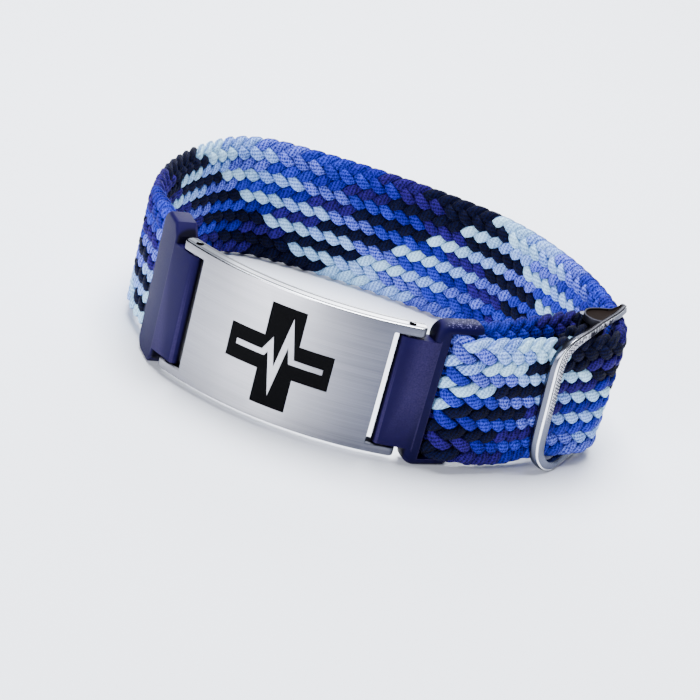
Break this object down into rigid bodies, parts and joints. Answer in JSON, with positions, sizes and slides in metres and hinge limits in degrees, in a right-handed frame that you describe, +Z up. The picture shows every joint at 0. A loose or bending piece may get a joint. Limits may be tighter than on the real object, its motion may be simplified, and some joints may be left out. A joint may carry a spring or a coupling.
{
  "type": "bracelet",
  "caption": "Medical alert bracelet: curved brushed steel plate with a black cross emblem, dark blue moulded links and a flat braided blue elastic strap with a steel slide buckle",
  "frame": {"origin": "middle of the loop's extent from side to side and from front to back, on the surface that the bracelet stands on", "axes": "X from the left link to the right link, Y from the plate to the back of the strap, Z up along the width of the strap"},
  "size_m": [0.082, 0.0638, 0.0244],
  "materials": {
    "brushed_plate": "satin steel brushed lengthwise, polished edges",
    "black_enamel": "black enamel",
    "bar_steel": "turned steel",
    "link_plastic": "dark blue moulded plastic, satin",
    "strap_braid": "flat braid of space-dyed cords, white through blue to black",
    "buckle_steel": "polished steel with a knurled facet"
  },
  "bodies": {
    "root": {"id_plate": "brushed_plate", "emblem": "black_enamel", "spring_bar_left": "bar_steel", "spring_bar_right": "bar_steel", "connector_left": "link_plastic", "connector_right": "link_plastic", "strap": "strap_braid", "slide_buckle": "buckle_steel"}
  },
  "joints": []
}
